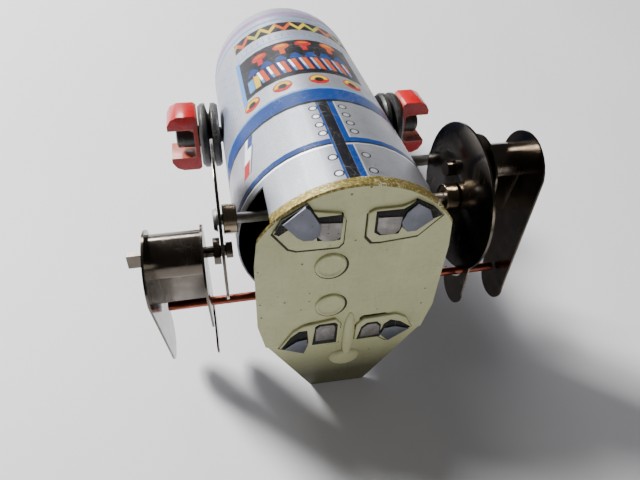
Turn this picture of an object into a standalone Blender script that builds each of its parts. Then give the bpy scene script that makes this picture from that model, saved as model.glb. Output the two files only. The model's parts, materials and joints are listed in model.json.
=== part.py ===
"""Wind-up tin robot with crank-driven walking legs, as an assembly of separate pieces.

Frame: metres, +Z up, +X across the body, +Y from the base plate towards the dome.
The body's axis is level, AXIS_HEIGHT above the lowest point of the base plate's foot.
Stations along the body are measured from the outer face of the base plate.
"""

from math import atan2, cos, hypot, pi, radians, sin

import bmesh
import bpy
from mathutils import Vector

MM = 0.001

# Body
BODY_RADIUS = 24.9 * MM
BODY_LENGTH = 124.8 * MM
SHEET = 0.4 * MM
SKIRT_STATION = 14.0 * MM
APRON_START = 1.2 * MM
APRON_HALF_WIDTH = 18.2 * MM
AXIS_HEIGHT = 46.43 * MM
MIDDLE_STATION = 59.65 * MM

# Base plate
PLATE_THICKNESS = 0.5 * MM
PLATE_HALF_WIDTH = 22.2 * MM
RIM_DEPTH = 2.4 * MM
RIM_INNER = 25.25 * MM
RIM_OUTER = 25.7 * MM
FOOT_TOP = -22.5 * MM
FOOT_LENGTH = 24.0 * MM
FOOT_HALF_WIDTH = 7.5 * MM
FOOT_BEND = radians(5.0)

# Crank shaft, guide rod and winding arbor, as (station, height over the body's axis)
CRANK_AXIS = (12.2 * MM, 10.2 * MM)
ROD_AXIS = (9.6 * MM, -13.3 * MM)
KEY_AXIS = (33.0 * MM, 7.0 * MM)
ESCAPE_AXIS = (16.2 * MM, -2.2 * MM)
PALLET_AXIS = (24.0 * MM, -11.5 * MM)
AXLE_RADIUS = 1.25 * MM
ROD_RADIUS = 1.1 * MM
ROD_HALF_LENGTH = 42.8 * MM
FIT = 0.3 * MM

# Cranks and legs
DISC_RADIUS = 17.7 * MM
DISC_THICKNESS = 0.6 * MM
DISC_X = 28.2 * MM
CRANK_RADIUS = 6.85 * MM
CRANK_ANGLE = radians(47.6)
HUB_RADIUS = 3.35 * MM
HUB_LENGTH = 3.1 * MM
LEG_SHEET = 0.5 * MM
INNER_FLANGE_X = 32.3 * MM
OUTER_FLANGE_X = 43.9 * MM
LEG_LENGTH = 39.1 * MM
LEG_TIP_RADIUS = 5.3 * MM
LEG_TIP_OFFSET = 0.3 * MM
LEG_NEAR = 13.1 * MM
LEG_FAR = 5.2 * MM
LEG_TOP = 9.1 * MM
WEB_LENGTH = 23.5 * MM
ROLL_RADIUS = 5.2 * MM
ROLL_STEPS = 48
PIN_TIP_X = 48.6 * MM
PIN_SHANK_X = 44.4 * MM
PIN_RADIUS = 1.25 * MM

# Arms
ARM_STATION = 66.0 * MM
ARM_RIB_RADIUS = 9.7 * MM
CLAW_ROOT_X = 31.9 * MM
CLAW_RADIUS = 9.1 * MM
CLAW_HALF_WIDTH = 4.6 * MM

# Clockwork
FRAME_X = 9.8 * MM
FRAME_THICKNESS = 0.8 * MM
MODULE = 1.0 * MM
GREAT_TEETH = 28
PINION_TEETH = 14
CRANK_WHEEL_TEETH = 18
ESCAPE_PINION_TEETH = 8

ROUND = 24
FINE_ROUND = 48


def surface_finish(red, green, blue, roughness, metallic):
    """Colour, roughness and metallic value of a finish."""
    return (red, green, blue, 1.0), roughness, metallic


SILVER_PRINT = surface_finish(0.55, 0.56, 0.58, 0.35, 0.6)
CREAM_LACQUER = surface_finish(0.38, 0.38, 0.24, 0.4, 0.2)
NICKEL = surface_finish(0.42, 0.39, 0.35, 0.2, 1.0)
COPPER = surface_finish(0.45, 0.17, 0.10, 0.3, 1.0)
BRASS = surface_finish(0.55, 0.42, 0.20, 0.3, 1.0)
STEEL = surface_finish(0.45, 0.45, 0.46, 0.35, 1.0)
SPRING_STEEL = surface_finish(0.12, 0.14, 0.20, 0.3, 1.0)
BLACK_PLASTIC = surface_finish(0.012, 0.012, 0.013, 0.45, 0.0)
RED_PLASTIC = surface_finish(0.50, 0.02, 0.02, 0.2, 0.0)

for old in list(bpy.data.objects):
    bpy.data.objects.remove(old, do_unlink=True)

parts = bpy.data.collections.new("walking_tin_robot")
cutters = bpy.data.collections.new("cutters")
bpy.context.scene.collection.children.link(parts)
bpy.context.scene.collection.children.link(cutters)


def place(station, height, x=0.0):
    """World position of a point given by its station and its height over the body's axis."""
    return Vector((x, station - MIDDLE_STATION, height + AXIS_HEIGHT))


def finish(obj, name, paint):
    """Names a finished piece, gives it its own material and files it with the parts."""
    colour, roughness, metallic = paint
    material = bpy.data.materials.new(name)
    material.use_nodes = True
    shader = material.node_tree.nodes["Principled BSDF"]
    shader.inputs["Base Color"].default_value = colour
    shader.inputs["Roughness"].default_value = roughness
    shader.inputs["Metallic"].default_value = metallic
    obj.data.materials.clear()
    obj.data.materials.append(material)
    obj.name = name
    obj.data.name = name
    for collection in list(obj.users_collection):
        collection.objects.unlink(obj)
    parts.objects.link(obj)
    obj.data.shade_smooth()
    obj.data.set_sharp_from_angle(angle=radians(35))
    return obj


def as_cutter(obj):
    """Hides a tool body and files it with the cutters."""
    for collection in list(obj.users_collection):
        collection.objects.unlink(obj)
    cutters.objects.link(obj)
    obj.hide_render = True
    obj.display_type = 'WIRE'
    return obj


def combine(obj, tool, operation):
    """Adds a Boolean of a tool body to a piece."""
    modifier = obj.modifiers.new(operation.lower(), 'BOOLEAN')
    modifier.operation = operation
    modifier.solver = 'EXACT'
    modifier.object = as_cutter(tool)


def cylinder(radius, start, end, axis_point, segments=ROUND):
    """Cylinder along X from start to end about a (station, height) axis."""
    centre = place(*axis_point, (start + end) / 2)
    bpy.ops.mesh.primitive_cylinder_add(vertices=segments, radius=radius, depth=abs(end - start),
                                        location=centre, rotation=(0, pi / 2, 0))
    return bpy.context.object


def box(low, high):
    """Box between two (x, station, height) corners."""
    first = place(low[1], low[2], low[0])
    second = place(high[1], high[2], high[0])
    bpy.ops.mesh.primitive_cube_add(size=1, location=(first + second) / 2)
    obj = bpy.context.object
    obj.scale = [abs(size) for size in second - first]
    bpy.ops.object.transform_apply(location=False, rotation=False, scale=True)
    return obj


def circle_points(radius, centre=(0.0, 0.0), count=ROUND):
    """Points of a circle in a flat outline."""
    turns = [2 * pi * index / count for index in range(count)]
    return [(centre[0] + radius * cos(turn), centre[1] + radius * sin(turn)) for turn in turns]


def flat_piece(outlines, thickness, location, rotation):
    """Flat sheet from closed outlines, the later ones being holes, as a welded mesh."""
    curve = bpy.data.curves.new("outline", 'CURVE')
    curve.dimensions = '2D'
    curve.fill_mode = 'BOTH'
    curve.extrude = thickness / 2
    for outline in outlines:
        spline = curve.splines.new('POLY')
        spline.points.add(len(outline) - 1)
        for point, (across, along) in zip(spline.points, outline):
            point.co = (across, along, 0, 1)
        spline.use_cyclic_u = True
    drawn = bpy.data.objects.new("outline", curve)
    bpy.context.scene.collection.objects.link(drawn)
    drawn.location = location
    drawn.rotation_euler = rotation
    bpy.context.view_layer.update()
    evaluated = drawn.evaluated_get(bpy.context.evaluated_depsgraph_get())
    mesh = bpy.data.meshes.new_from_object(evaluated)
    shape = bmesh.new()
    shape.from_mesh(mesh)
    bmesh.ops.remove_doubles(shape, verts=shape.verts, dist=0.00001)
    bmesh.ops.recalc_face_normals(shape, faces=shape.faces)
    shape.to_mesh(mesh)
    shape.free()
    obj = bpy.data.objects.new("sheet", mesh)
    obj.matrix_world = drawn.matrix_world
    bpy.context.scene.collection.objects.link(obj)
    bpy.data.objects.remove(drawn, do_unlink=True)
    return obj


def side_sheet(outlines, x, axis_point, thickness):
    """Sheet square to X whose outlines are (station, height) offsets from an axis point."""
    return flat_piece(outlines, thickness, place(*axis_point, x), (pi / 2, 0, pi / 2))


def front_sheet(outlines, station, height, thickness):
    """Sheet square to Y whose outlines are (x, height) offsets, centred on a station."""
    return flat_piece(outlines, thickness, place(station, height), (pi / 2, 0, 0))


def washer(outer, bore, start, end, axis_point):
    """Ring along X."""
    outlines = [circle_points(outer), circle_points(bore)]
    return side_sheet(outlines, (start + end) / 2, axis_point, abs(end - start))


def turned(profile, axis_point):
    """Solid turned about X from (x, radius) points, drawn from its +X end to its -X end."""
    if profile[0][0] < profile[-1][0]:
        profile = profile[::-1]
    mesh = bpy.data.meshes.new("profile")
    shape = bmesh.new()
    ends = [(profile[0][0], 0.0)] + list(profile) + [(profile[-1][0], 0.0)]
    verts = [shape.verts.new((radius, 0.0, x)) for x, radius in ends]
    for first, second in zip(verts, verts[1:]):
        shape.edges.new((first, second))
    shape.to_mesh(mesh)
    shape.free()
    obj = bpy.data.objects.new("turned", mesh)
    bpy.context.scene.collection.objects.link(obj)
    screw = obj.modifiers.new("turn", 'SCREW')
    screw.axis = 'Z'
    screw.steps = ROUND
    screw.render_steps = ROUND
    screw.use_merge_vertices = True
    screw.merge_threshold = 0.00001
    obj.location = place(*axis_point)
    obj.rotation_euler = (0, pi / 2, 0)
    return obj


def gear_outline(teeth, root_drop=1.2, phase=0.0):
    """Coarse trapezoid teeth, wide at the root, on a pitch circle of MODULE per tooth."""
    pitch = MODULE * teeth / 2
    outer = pitch + 0.8 * MODULE
    root = pitch - root_drop * MODULE
    step = 2 * pi / teeth
    corners = ((-0.30, root), (-0.12, outer), (0.12, outer), (0.30, root))
    points = []
    for tooth in range(teeth):
        for offset, radius in corners:
            turn = (tooth + offset) * step + phase
            points.append((radius * cos(turn), radius * sin(turn)))
    return points


def gear(name, teeth, bore, start, end, axis_point, phase, paint, windows=0):
    """Gear wheel along X, with round windows in its web where asked."""
    outlines = [gear_outline(teeth, phase=phase), circle_points(bore, count=20)]
    for index in range(windows):
        turn = 2 * pi * index / windows
        reach = MODULE * teeth * 0.28
        centre = (reach * cos(turn), reach * sin(turn))
        outlines.append(circle_points(MODULE * teeth * 0.10, centre, 16))
    obj = side_sheet(outlines, (start + end) / 2, axis_point, end - start)
    return finish(obj, name, paint)


def offset_axis(axis_point, radius, turn):
    """Axis point at a radius and turn from another one."""
    return axis_point[0] + radius * cos(turn), axis_point[1] + radius * sin(turn)


# ---------------------------------------------------------------- body shell

def make_body_shell():
    """Drawn tin cylinder with a domed end, two aprons towards the plate, and its holes."""
    dome_steps = 9
    mesh = bpy.data.meshes.new("profile")
    shape = bmesh.new()
    centre = BODY_LENGTH - BODY_RADIUS
    quarter = [pi / 2 * (1 - index / dome_steps) for index in range(dome_steps + 1)]
    profile = [(BODY_RADIUS * cos(turn), centre + BODY_RADIUS * sin(turn)) for turn in quarter]
    profile[0] = (0.0, BODY_LENGTH)
    profile.append((BODY_RADIUS, SKIRT_STATION))
    profile.append((BODY_RADIUS, APRON_START))
    verts = [shape.verts.new((radius, 0.0, station)) for radius, station in profile]
    for first, second in zip(verts, verts[1:]):
        shape.edges.new((first, second))
    shape.to_mesh(mesh)
    shape.free()
    shell = bpy.data.objects.new("shell", mesh)
    bpy.context.scene.collection.objects.link(shell)
    screw = shell.modifiers.new("turn", 'SCREW')
    screw.axis = 'Z'
    screw.steps = FINE_ROUND
    screw.render_steps = FINE_ROUND
    screw.use_merge_vertices = True
    screw.merge_threshold = 0.00001
    wall = shell.modifiers.new("wall", 'SOLIDIFY')
    wall.thickness = SHEET
    wall.offset = -1.0
    shell.location = place(0, 0)
    shell.rotation_euler = (-pi / 2, 0, 0)
    for side in (-1, 1):
        low = (side * APRON_HALF_WIDTH, -5 * MM, -30 * MM)
        high = (side * 30 * MM, SKIRT_STATION, 30 * MM)
        combine(shell, box(low, high), 'DIFFERENCE')
        arm_hole = cylinder(2.7 * MM, side * 20 * MM, side * 30 * MM, (ARM_STATION, 0), 24)
        combine(shell, arm_hole, 'DIFFERENCE')
    combine(shell, cylinder(2.2 * MM, 18 * MM, 30 * MM, KEY_AXIS, 24), 'DIFFERENCE')
    return finish(shell, "body_shell", SILVER_PRINT)


# ---------------------------------------------------------------- base plate

def rounded_slot(low, high, radius=0.8 * MM):
    """Rectangle outline with cut corners, between two (x, height) corners."""
    (left, bottom), (right, top) = low, high
    return [(left + radius, bottom), (right - radius, bottom), (right, bottom + radius),
            (right, top - radius), (right - radius, top), (left + radius, top),
            (left, top - radius), (left, bottom + radius)]


def make_base_plate():
    """Flat cream plate with a rim over the front apron, tab slots and a bent foot."""
    arc_start = radians(33)
    arc = [arc_start + (pi - 2 * arc_start) * index / 28 for index in range(29)]
    lip = (RIM_INNER + RIM_OUTER) / 2
    top = [(lip * cos(turn), lip * sin(turn)) for turn in arc]
    sides = [(-PLATE_HALF_WIDTH, 6 * MM), (-PLATE_HALF_WIDTH, -14 * MM), (-20.5 * MM, FOOT_TOP)]
    mirrored = [(-x, height) for x, height in reversed(sides)]
    outline = top + sides + mirrored
    plate = front_sheet([outline], PLATE_THICKNESS / 2, 0, PLATE_THICKNESS)
    combine(plate, make_rim(), 'UNION')
    combine(plate, make_foot(), 'UNION')
    for side in (-1, 1):
        for low, high in (((3.4, 12.0), (10.7, 19.0)), ((3.2, -21.0), (10.7, -14.9))):
            left, right = sorted((side * low[0], side * high[0]))
            slot = rounded_slot((left * MM, low[1] * MM), (right * MM, high[1] * MM))
            cutter = front_sheet([slot], PLATE_THICKNESS / 2, 0, 4 * PLATE_THICKNESS)
            combine(plate, cutter, 'DIFFERENCE')
    return finish(plate, "base_plate", CREAM_LACQUER)


def make_rim():
    """Turned-back rim along the plate's round top."""
    arc_start = radians(44)
    arc = [arc_start + (pi - 2 * arc_start) * index / 28 for index in range(29)]
    outer = [(RIM_OUTER * cos(turn), RIM_OUTER * sin(turn)) for turn in arc]
    inner = [(RIM_INNER * cos(turn), RIM_INNER * sin(turn)) for turn in reversed(arc)]
    return front_sheet([outer + inner], RIM_DEPTH / 2 + 0.05 * MM, 0, RIM_DEPTH)


def make_foot():
    """Foot of the plate, bent slightly towards the dome."""
    drop = FOOT_LENGTH
    outline = [(-20.2 * MM, 0.5 * MM), (-FOOT_HALF_WIDTH, -drop),
               (FOOT_HALF_WIDTH, -drop), (20.2 * MM, 0.5 * MM)]
    location = place(PLATE_THICKNESS / 2, FOOT_TOP)
    return flat_piece([outline], PLATE_THICKNESS, location, (pi / 2 + FOOT_BEND, 0, 0))


# ---------------------------------------------------------------- cranks and legs

def crank_pin_axis(side):
    """Axis point of a crank pin: the two pins stand opposite each other."""
    turn = CRANK_ANGLE if side > 0 else CRANK_ANGLE + pi
    return offset_axis(CRANK_AXIS, CRANK_RADIUS, turn)


def make_crank(side, word):
    """Disc, hub and pin on one end of the crank shaft."""
    inner = DISC_X - DISC_THICKNESS / 2
    outer = DISC_X + DISC_THICKNESS / 2
    pin_axis = crank_pin_axis(side)
    pin_offset = (pin_axis[0] - CRANK_AXIS[0], pin_axis[1] - CRANK_AXIS[1])
    outlines = [circle_points(DISC_RADIUS, count=FINE_ROUND),
                circle_points(AXLE_RADIUS + FIT, count=20),
                circle_points(1.55 * MM, pin_offset, 20)]
    disc = side_sheet(outlines, side * DISC_X, CRANK_AXIS, DISC_THICKNESS)
    finish(disc, f"crank_disc_{word}", NICKEL)
    hub = washer(HUB_RADIUS, AXLE_RADIUS + FIT, side * (inner - FIT - HUB_LENGTH),
                 side * (inner - FIT), CRANK_AXIS)
    finish(hub, f"crank_hub_{word}", BRASS)
    profile = [(PIN_SHANK_X, PIN_RADIUS), (outer + 1.8 * MM, PIN_RADIUS),
               (outer + 1.8 * MM, 3.0 * MM), (outer + FIT, 3.0 * MM),
               (outer + FIT, PIN_RADIUS), (inner - FIT, PIN_RADIUS),
               (inner - FIT, 1.8 * MM), (inner - 1.8 * MM, 1.8 * MM)]
    pin = turned([(side * x, radius) for x, radius in profile], pin_axis)
    station, height = pin_axis
    tip = box((side * 44.2 * MM, station - 0.75 * MM, height - 1.75 * MM),
              (side * PIN_TIP_X, station + 0.75 * MM, height + 1.75 * MM))
    combine(pin, tip, 'UNION')
    finish(pin, f"crank_pin_{word}", NICKEL)


def leg_tilt(side):
    """Lean of a leg from straight down towards the dome: it points from its pin to the rod."""
    station, height = crank_pin_axis(side)
    return atan2(ROD_AXIS[0] - station, height - ROD_AXIS[1])


def leg_point(along, across, tilt):
    """(station, height) offset of a leg point given along the leg and towards the dome."""
    return across * cos(tilt) + along * sin(tilt), across * sin(tilt) - along * cos(tilt)


def flange_outline(tilt):
    """Side outline of a leg: wide domed head, straight sides and a round tip."""
    middle = (LEG_FAR - LEG_NEAR) / 2
    half = (LEG_FAR + LEG_NEAR) / 2
    head = [(-LEG_TOP * sin(pi * index / 16), middle - half * cos(pi * index / 16))
            for index in range(17)]
    tip_centre = LEG_LENGTH - LEG_TIP_RADIUS
    tip = [(tip_centre + LEG_TIP_RADIUS * sin(pi * index / 12),
            LEG_TIP_OFFSET + LEG_TIP_RADIUS * cos(pi * index / 12)) for index in range(13)]
    return [leg_point(along, across, tilt) for along, across in head + tip]


def web_outline(tilt):
    """Thin strip along the dome side, rolled over the crank pin to a lip on the plate side."""
    inner = ROLL_RADIUS - LEG_SHEET
    roll = [pi / 2 - (pi + radians(12)) * index / ROLL_STEPS for index in range(ROLL_STEPS + 1)]
    outer_side = [(WEB_LENGTH, ROLL_RADIUS)]
    outer_side += [(-ROLL_RADIUS * cos(turn), ROLL_RADIUS * sin(turn)) for turn in roll]
    inner_side = [(-inner * cos(turn), inner * sin(turn)) for turn in reversed(roll)]
    inner_side.append((WEB_LENGTH, inner))
    return [leg_point(along, across, tilt) for along, across in outer_side + inner_side]


def make_leg(side, word):
    """Sheet leg: two flanges and a web that rolls over the pin, open where the rod passes."""
    tilt = leg_tilt(side)
    pin_axis = crank_pin_axis(side)
    bore = circle_points(AXLE_RADIUS + FIT, count=20)
    leg = side_sheet([flange_outline(tilt), bore], side * OUTER_FLANGE_X, pin_axis, LEG_SHEET)
    inner = side_sheet([flange_outline(tilt), bore], side * INNER_FLANGE_X, pin_axis, LEG_SHEET)
    combine(leg, inner, 'UNION')
    centre = (INNER_FLANGE_X + OUTER_FLANGE_X) / 2
    width = OUTER_FLANGE_X - INNER_FLANGE_X
    web = side_sheet([web_outline(tilt)], side * centre, pin_axis, width)
    combine(leg, web, 'UNION')
    window_axis = (pin_axis[0] + ROD_AXIS[0] - CRANK_AXIS[0],
                   pin_axis[1] + ROD_AXIS[1] - CRANK_AXIS[1])
    reach = CRANK_RADIUS + ROD_RADIUS + 0.45 * MM
    window = cylinder(reach, side * 31 * MM, side * 43.3 * MM, window_axis, 40)
    combine(leg, window, 'DIFFERENCE')
    finish(leg, f"leg_{word}", NICKEL)


def make_crank_shaft():
    """Through shaft with a riveted head outside each disc."""
    head = DISC_X + DISC_THICKNESS / 2 + FIT
    half = [(-head - 0.9 * MM, 2.2 * MM), (-head, 2.75 * MM), (-head, AXLE_RADIUS)]
    profile = half + [(-x, radius) for x, radius in reversed(half)]
    finish(turned(profile, CRANK_AXIS), "crank_shaft", STEEL)


# ---------------------------------------------------------------- arms

def make_arm(side, word):
    """Black ribbed shoulder and arm end on a pivot through the body's wall, and its claw."""
    profile = [(22.2, 3.7), (23.6, 3.7), (23.6, 2.3), (25.4, 2.3), (25.5, 9.0), (26.4, 9.7),
               (27.6, 9.7), (28.3, 6.6), (28.6, 6.6), (29.3, 9.7), (30.6, 9.7), (31.5, 8.8),
               (31.5, 3.2), (38.2, 3.2), (38.6, 2.6)]
    axis = (ARM_STATION, 0)
    arm = turned([(side * x * MM, radius * MM) for x, radius in profile], axis)
    finish(arm, f"arm_{word}", BLACK_PLASTIC)
    half = [(0, 0), (0, 8.4), (0.9, 9.1), (5.6, 9.1), (7.6, 8.2), (8.8, 6.2), (8.8, 4.7),
            (2.6, 4.7), (1.4, 3.9), (1.4, 0)]
    outline = [(side * (CLAW_ROOT_X + out * MM), height * MM) for out, height in half[1:-1]]
    outline += [(x, -height) for x, height in reversed(outline)]
    claw = front_sheet([outline], ARM_STATION, 0, 2 * CLAW_HALF_WIDTH)
    combine(claw, cylinder(3.5 * MM, side * 31 * MM, side * 36 * MM, axis, 24), 'DIFFERENCE')
    finish(claw, f"claw_{word}", RED_PLASTIC)


# ---------------------------------------------------------------- clockwork

def make_motor_plate(side, word):
    """Motor side plate with its bearing holes and two tabs through the base plate."""
    outline = [(1.2, -15.2), (1.2, 18.4), (8, 19.5), (47, 19.5), (53, 14), (53, -8), (44, -19),
               (24, -20.5), (1.2, -20.5)]
    outline = [(station * MM, height * MM) for station, height in outline]
    holes = [(CRANK_AXIS, AXLE_RADIUS + FIT), (ROD_AXIS, ROD_RADIUS + FIT),
             (KEY_AXIS, 1.5 * MM + FIT), (ESCAPE_AXIS, 0.75 * MM + FIT),
             (PALLET_AXIS, 0.6 * MM + FIT)]
    outlines = [outline] + [circle_points(radius, centre, 20) for centre, radius in holes]
    outlines += [circle_points(0.9 * MM, centre, 16) for centre in PILLAR_AXES]
    plate = side_sheet(outlines, side * FRAME_X, (0, 0), FRAME_THICKNESS)
    bend = [(10.1, 3.0), (9.5, 3.0), (9.5, -0.3), (4.6, -0.3), (4.6, -0.9), (10.1, -0.9)]
    bend = [(side * x * MM, station * MM) for x, station in bend]
    for low, high in ((12.8, 18.0), (-20.2, -15.7)):
        location = place(0, (low + high) / 2 * MM)
        tab = flat_piece([bend], (high - low) * MM, location, (0, 0, 0))
        combine(plate, tab, 'UNION')
    finish(plate, f"motor_plate_{word}", STEEL)


PILLAR_AXES = ((49.5 * MM, 14.0 * MM), (46.5 * MM, -9.0 * MM), (34.0 * MM, -16.5 * MM))


def make_pillars():
    """Shouldered pillars that hold the motor plates apart."""
    inner = FRAME_X - FRAME_THICKNESS / 2 - FIT
    end = FRAME_X + FRAME_THICKNESS / 2 + 0.5 * MM
    profile = [(-end, 0.6 * MM), (-inner, 0.6 * MM), (-inner, 1.5 * MM), (inner, 1.5 * MM),
               (inner, 0.6 * MM), (end, 0.6 * MM)]
    for number, axis_point in enumerate(PILLAR_AXES, 1):
        finish(turned(profile, axis_point), f"pillar_{number}", STEEL)


def make_winding_train():
    """Winding arbor, key, ratchet, click, great wheel and mainspring."""
    shaft = 1.5 * MM
    profile = [(-10.9 * MM, shaft), (36.5 * MM, shaft)]
    finish(turned(profile, KEY_AXIS), "winding_arbor", STEEL)
    bow = [(0, -1.9), (2.6, -2.2), (5.4, -1.7), (7.0, 0), (5.4, 1.7), (2.6, 2.2), (0, 1.9)]
    wing = [(along, across) for along, across in bow]
    outline = wing + [(-along, -across) for along, across in bow[1:-1]]
    outline = [(across * MM, along * MM) for along, across in outline]
    key = side_sheet([outline], 38.0 * MM, KEY_AXIS, 1.0 * MM)
    sleeve = washer(2.4 * MM, shaft + FIT, 30.5 * MM, 37.7 * MM, KEY_AXIS)
    combine(key, sleeve, 'UNION')
    finish(key, "winding_key", NICKEL)
    gear("great_wheel", GREAT_TEETH, shaft + FIT, 3.0 * MM, 4.2 * MM, KEY_AXIS, GREAT_PHASE,
         BRASS, windows=5)
    ratchet_teeth = 12
    outline = []
    for tooth in range(ratchet_teeth):
        for offset, radius in ((0.0, 6.0), (0.12, 6.0), (0.95, 4.6)):
            turn = 2 * pi * (tooth + offset) / ratchet_teeth
            outline.append((radius * MM * cos(turn), radius * MM * sin(turn)))
    ratchet = side_sheet([outline, circle_points(shaft + FIT, count=20)], 1.6 * MM, KEY_AXIS,
                         1.2 * MM)
    finish(ratchet, "ratchet_wheel", STEEL)
    click_axis = offset_axis(KEY_AXIS, 9.0 * MM, radians(200))
    outline = [(-1.4, -1.0), (1.2, -1.2), (3.6, 1.6), (3.0, 2.2), (1.0, 0.9), (-1.2, 1.1)]
    outline = [(across * MM * 0.6, along * MM * 0.6) for across, along in outline]
    click = side_sheet([outline], 1.7 * MM, click_axis, 1.0 * MM)
    finish(click, "click", STEEL)
    make_mainspring()


def make_mainspring():
    """Flat spiral spring round the winding arbor."""
    turns = 5
    per_turn = 16
    inner_radius = 2.4 * MM
    pitch = 1.9 * MM
    leaf = 0.5 * MM
    steps = turns * per_turn
    angles = [2 * pi * index / per_turn for index in range(steps + 1)]
    radii = [inner_radius + pitch * index / per_turn for index in range(steps + 1)]
    outer = [((r + leaf) * cos(t), (r + leaf) * sin(t)) for r, t in zip(radii, angles)]
    inner = [(r * cos(t), r * sin(t)) for r, t in zip(radii, angles)]
    spring = side_sheet([outer + inner[::-1]], -5.0 * MM, KEY_AXIS, 6.0 * MM)
    finish(spring, "mainspring", SPRING_STEEL)


def mesh_turn(driver, driven):
    """Direction from one axis to another."""
    return atan2(driven[1] - driver[1], driven[0] - driver[0])


GREAT_TO_CRANK = mesh_turn(KEY_AXIS, CRANK_AXIS)
CRANK_TO_ESCAPE = mesh_turn(CRANK_AXIS, ESCAPE_AXIS)
GREAT_PHASE = GREAT_TO_CRANK
PINION_PHASE = GREAT_TO_CRANK + pi + pi / PINION_TEETH
CRANK_WHEEL_PHASE = CRANK_TO_ESCAPE
ESCAPE_PHASE = CRANK_TO_ESCAPE + pi + pi / ESCAPE_PINION_TEETH


def make_going_train():
    """Gears on the crank shaft and the escapement that holds the speed down."""
    bore = AXLE_RADIUS + FIT
    gear("crank_pinion", PINION_TEETH, bore, 2.8 * MM, 4.4 * MM, CRANK_AXIS, PINION_PHASE, BRASS)
    gear("crank_wheel", CRANK_WHEEL_TEETH, bore, 6.6 * MM, 7.8 * MM, CRANK_AXIS,
         CRANK_WHEEL_PHASE, BRASS)
    finish(turned([(-10.6 * MM, 0.75 * MM), (10.6 * MM, 0.75 * MM)], ESCAPE_AXIS),
           "escape_arbor", STEEL)
    gear("escape_pinion", ESCAPE_PINION_TEETH, 0.75 * MM + FIT, 6.2 * MM, 8.4 * MM, ESCAPE_AXIS,
         ESCAPE_PHASE, STEEL)
    star_teeth = 10
    outline = []
    for tooth in range(star_teeth):
        for offset, radius in ((0.0, 5.2), (0.5, 3.4)):
            turn = 2 * pi * (tooth + offset) / star_teeth
            outline.append((radius * MM * cos(turn), radius * MM * sin(turn)))
    star = side_sheet([outline, circle_points(0.75 * MM + FIT, count=16)], -0.4 * MM,
                      ESCAPE_AXIS, 0.8 * MM)
    finish(star, "escape_wheel", STEEL)
    towards = mesh_turn(PALLET_AXIS, ESCAPE_AXIS)
    reach = hypot(ESCAPE_AXIS[0] - PALLET_AXIS[0], ESCAPE_AXIS[1] - PALLET_AXIS[1])
    tip = reach - 6.0 * MM
    fork = [(-3.0 * MM, -1.6 * MM), (1.5 * MM, -1.6 * MM), (tip, -3.4 * MM), (tip, -2.2 * MM),
            (2.2 * MM, 0), (tip, 2.2 * MM), (tip, 3.4 * MM), (1.5 * MM, 1.6 * MM),
            (-3.0 * MM, 1.6 * MM)]
    turned_fork = [(x * cos(towards) - y * sin(towards), x * sin(towards) + y * cos(towards))
                   for x, y in fork]
    pallet = side_sheet([turned_fork], -0.4 * MM, PALLET_AXIS, 0.8 * MM)
    combine(pallet, cylinder(0.6 * MM, -10.6 * MM, 10.6 * MM, PALLET_AXIS, 16), 'UNION')
    finish(pallet, "pallet", STEEL)


def make_guide_rod():
    """Copper-plated rod through the motor plates and both legs."""
    ends = [(-ROD_HALF_LENGTH, 0.9 * MM), (-ROD_HALF_LENGTH + 0.2 * MM, ROD_RADIUS)]
    profile = ends + [(-x, radius) for x, radius in reversed(ends)]
    finish(turned(profile, ROD_AXIS), "guide_rod", COPPER)


make_body_shell()
make_base_plate()
for part_side, part_word in ((-1, "left"), (1, "right")):
    make_motor_plate(part_side, part_word)
    make_crank(part_side, part_word)
    make_leg(part_side, part_word)
    make_arm(part_side, part_word)
make_pillars()
make_guide_rod()
make_crank_shaft()
make_winding_train()
make_going_train()
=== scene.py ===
"""Looks of the tin robot: printed lacquer, worn plate, bright plated metal and glossy claws."""

import json
import logging
import math
from dataclasses import dataclass, field
from enum import Enum

import bpy
from mathutils import Matrix, Vector

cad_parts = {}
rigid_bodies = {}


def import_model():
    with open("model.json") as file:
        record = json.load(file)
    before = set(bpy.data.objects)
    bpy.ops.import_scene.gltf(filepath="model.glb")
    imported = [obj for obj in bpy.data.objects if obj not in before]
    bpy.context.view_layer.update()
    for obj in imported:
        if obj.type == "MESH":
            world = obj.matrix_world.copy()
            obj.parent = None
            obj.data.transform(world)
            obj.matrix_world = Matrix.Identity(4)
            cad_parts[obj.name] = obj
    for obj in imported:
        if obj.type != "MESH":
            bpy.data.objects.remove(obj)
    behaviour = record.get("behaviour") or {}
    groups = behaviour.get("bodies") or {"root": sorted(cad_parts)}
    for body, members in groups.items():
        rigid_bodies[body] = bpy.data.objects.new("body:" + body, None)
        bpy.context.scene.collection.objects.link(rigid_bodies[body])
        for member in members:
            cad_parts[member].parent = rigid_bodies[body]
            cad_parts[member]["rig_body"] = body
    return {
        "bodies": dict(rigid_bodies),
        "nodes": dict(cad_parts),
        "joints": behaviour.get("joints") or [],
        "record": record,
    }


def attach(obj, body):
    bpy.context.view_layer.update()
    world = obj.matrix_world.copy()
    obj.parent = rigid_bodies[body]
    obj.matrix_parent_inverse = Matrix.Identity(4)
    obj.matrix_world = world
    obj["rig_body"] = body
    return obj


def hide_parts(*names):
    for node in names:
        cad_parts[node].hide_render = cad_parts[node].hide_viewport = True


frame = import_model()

LOG = logging.getLogger("tin_robot")
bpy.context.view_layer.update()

Colour = tuple[float, float, float, float]
Triple = tuple[float, float, float]
Outline = tuple[tuple[float, float], ...]
Socket = bpy.types.NodeSocket
Tree = bpy.types.NodeTree
Node = bpy.types.Node
Material = bpy.types.Material
Piece = bpy.types.Object

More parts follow.
